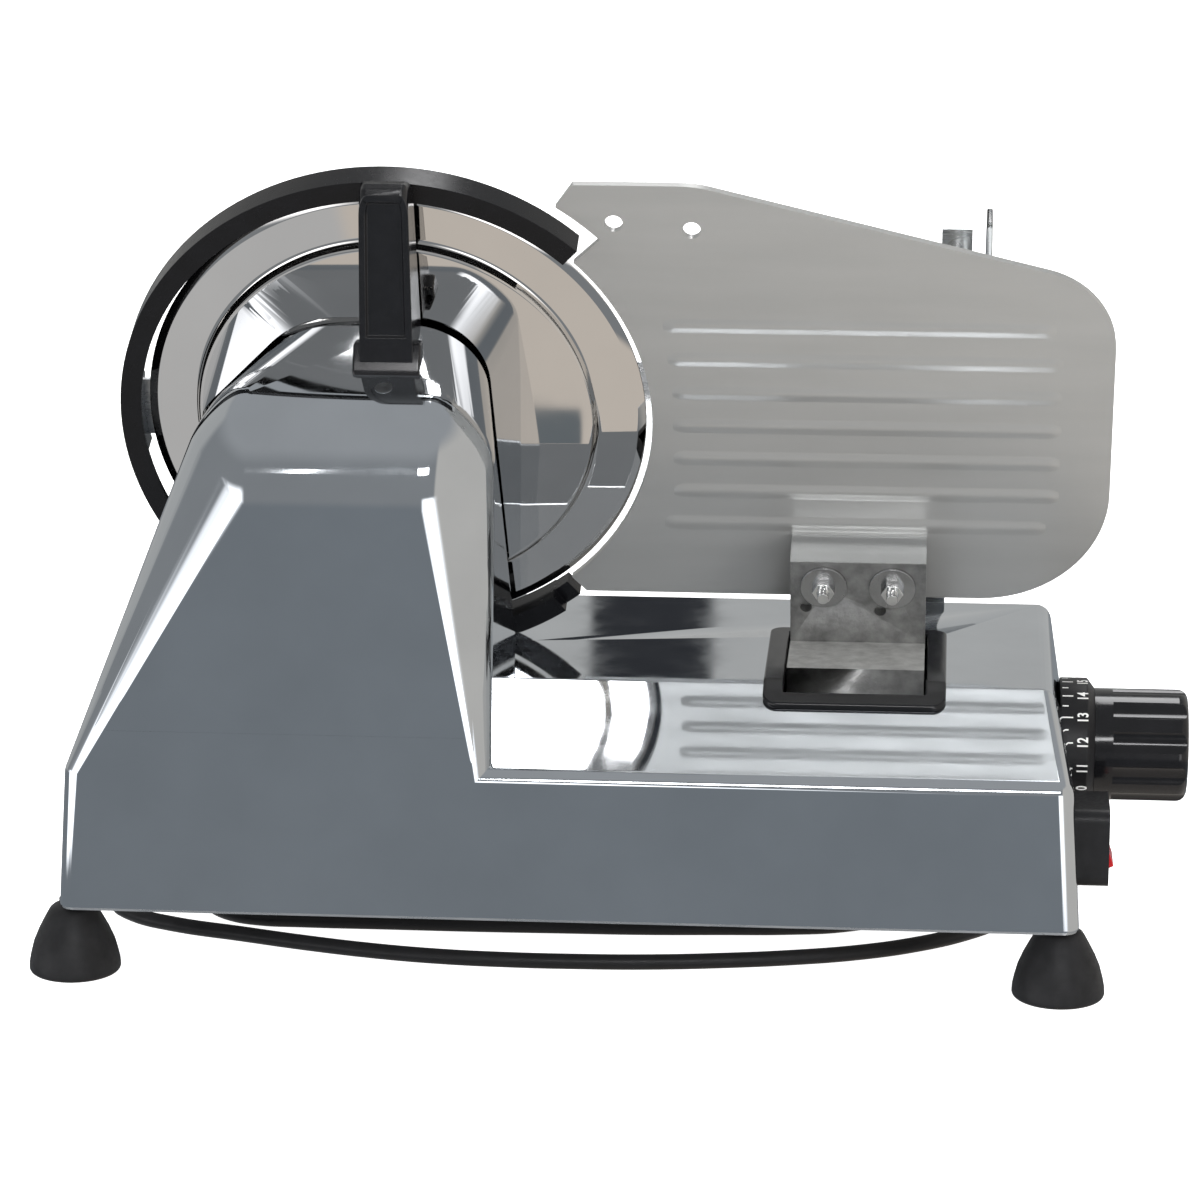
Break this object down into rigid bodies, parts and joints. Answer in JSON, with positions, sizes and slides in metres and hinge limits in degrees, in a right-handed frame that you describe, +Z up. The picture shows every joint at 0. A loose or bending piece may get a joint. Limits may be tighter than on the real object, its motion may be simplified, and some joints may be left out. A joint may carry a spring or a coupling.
{
  "type": "electric food slicer",
  "caption": "Bench electric food slicer with a leaning round blade, a gauge plate set by a dial, and a sliding tray with a swinging food pusher",
  "frame": {"origin": "middle of the part's own box, without the free cord, at table height under the feet", "axes": "+X along the base to the dial end, +Y to the carriage side, +Z up"},
  "size_m": [0.5733, 0.3459, 0.397],
  "materials": {
    "casting": "gloss lacquer",
    "sheet_steel": "plain sheet",
    "rubber": "matt",
    "zinc_screw": "zinc plated",
    "black_metal": "satin black",
    "black_plastic": "gloss black",
    "red_plastic": "gloss red",
    "motor_steel": "dull",
    "alloy": "satin",
    "satin_alloy": "brushed, anodised",
    "cast_alloy": "as cast",
    "polished_steel": "polished",
    "pale_plastic": "matt",
    "bronze": "plain",
    "clear_sheet": "clear sheet",
    "cord_rubber": "matt",
    "brass_pin": "plain"
  },
  "bodies": {
    "base": {"base_casting": "casting", "bottom_cover": "sheet_steel", "rubber_feet": "rubber", "foot_screws": "zinc_screw", "ring_guard": "black_metal", "guard_end_block": "black_metal", "guard_screws": "zinc_screw", "guard_strap": "black_metal", "strap_screw": "zinc_screw", "slot_bezel": "black_plastic", "switch_housing": "black_plastic", "motor_stator": "motor_steel", "motor_bells": "alloy", "motor_cradle": "motor_steel", "drive_belt": "rubber", "spindle_housing": "alloy", "housing_screws": "zinc_screw", "spindle_bearings": "motor_steel", "blade_cover": "alloy", "cover_screws": "zinc_screw", "run_capacitor": "pale_plastic", "control_box": "pale_plastic", "dial_bush": "bronze", "gauge_rods": "polished_steel", "slide_rod": "polished_steel", "rod_blocks": "cast_alloy", "guide_rail": "polished_steel", "cord_gland": "cord_rubber", "mains_cord": "cord_rubber", "plug_body": "cord_rubber", "plug_pins": "brass_pin"},
    "blade_assembly": {"blade": "polished_steel", "blade_spindle": "polished_steel", "blade_pulley": "alloy", "blade_screws": "zinc_screw"},
    "rotor": {"motor_rotor": "motor_steel", "motor_pulley": "alloy"},
    "dial": {"dial_knob": "black_plastic", "dial_scale": "black_plastic", "dial_spindle": "polished_steel", "scroll_cam": "alloy"},
    "gauge": {"gauge_plate": "satin_alloy", "gauge_bracket": "cast_alloy", "bracket_bolts": "zinc_screw", "bracket_washers": "zinc_screw", "gauge_slide": "cast_alloy", "cam_pin": "polished_steel"},
    "rocker": {"switch_rocker": "red_plastic"},
    "carriage": {"carriage_block": "cast_alloy", "carriage_bushes": "bronze", "carriage_arm": "alloy", "food_tray": "alloy", "hand_guard": "clear_sheet", "carriage_handle": "black_plastic", "pusher_rod": "polished_steel"},
    "lock": {"lock_knob": "black_plastic"},
    "pusher_slider": {"pusher_sleeve": "alloy"},
    "pusher": {"pusher_plate": "alloy", "pusher_handle": "black_plastic"}
  },
  "joints": [
    {"name": "blade_spin", "type": "hinge", "parent": "base", "child": "blade_assembly", "pos_m": [-0.11065, -0.05599, 0.266], "axis": [0, -0.9397, -0.342], "continuous": true},
    {"name": "rotor_spin", "type": "hinge", "parent": "base", "child": "rotor", "pos_m": [-0.15565, -0.06654, 0.11956], "axis": [0, -0.9397, -0.342], "continuous": true},
    {"name": "dial_turn", "type": "hinge", "parent": "base", "child": "dial", "pos_m": [0.26435, -0.06399, 0.1035], "axis": [1, 0, 0], "range_deg": [0, 337.5]},
    {"name": "gauge_travel", "type": "slide", "parent": "base", "child": "gauge", "axis": [0, -1, 0], "range_m": [0, 0.016]},
    {"name": "rocker_tilt", "type": "hinge", "parent": "base", "child": "rocker", "pos_m": [0.24085, -0.13099, 0.075], "axis": [0, 1, 0], "range_deg": [0, 12]},
    {"name": "carriage_travel", "type": "slide", "parent": "base", "child": "carriage", "axis": [-1, 0, 0], "range_m": [0, 0.25]},
    {"name": "lock_knob_turn", "type": "hinge", "parent": "carriage", "child": "lock", "pos_m": [0.13935, 0.08001, 0.149], "axis": [0, 1, 0], "range_deg": [0, 360]},
    {"name": "pusher_travel", "type": "slide", "parent": "carriage", "child": "pusher_slider", "axis": [0, 0.9397, 0.342], "range_m": [0, 0.104]},
    {"name": "pusher_swing", "type": "hinge", "parent": "pusher_slider", "child": "pusher", "pos_m": [0.16735, -0.01174, 0.27891], "axis": [0, -0.9397, -0.342], "range_deg": [-95, 0]}
  ],
  "couplings": [
    {"joint": "rotor_spin", "follows": "blade_spin", "ratio": 2.8333},
    {"joint": "dial_turn", "follows": "gauge_travel", "rad_per_m": 368.16}
  ]
}
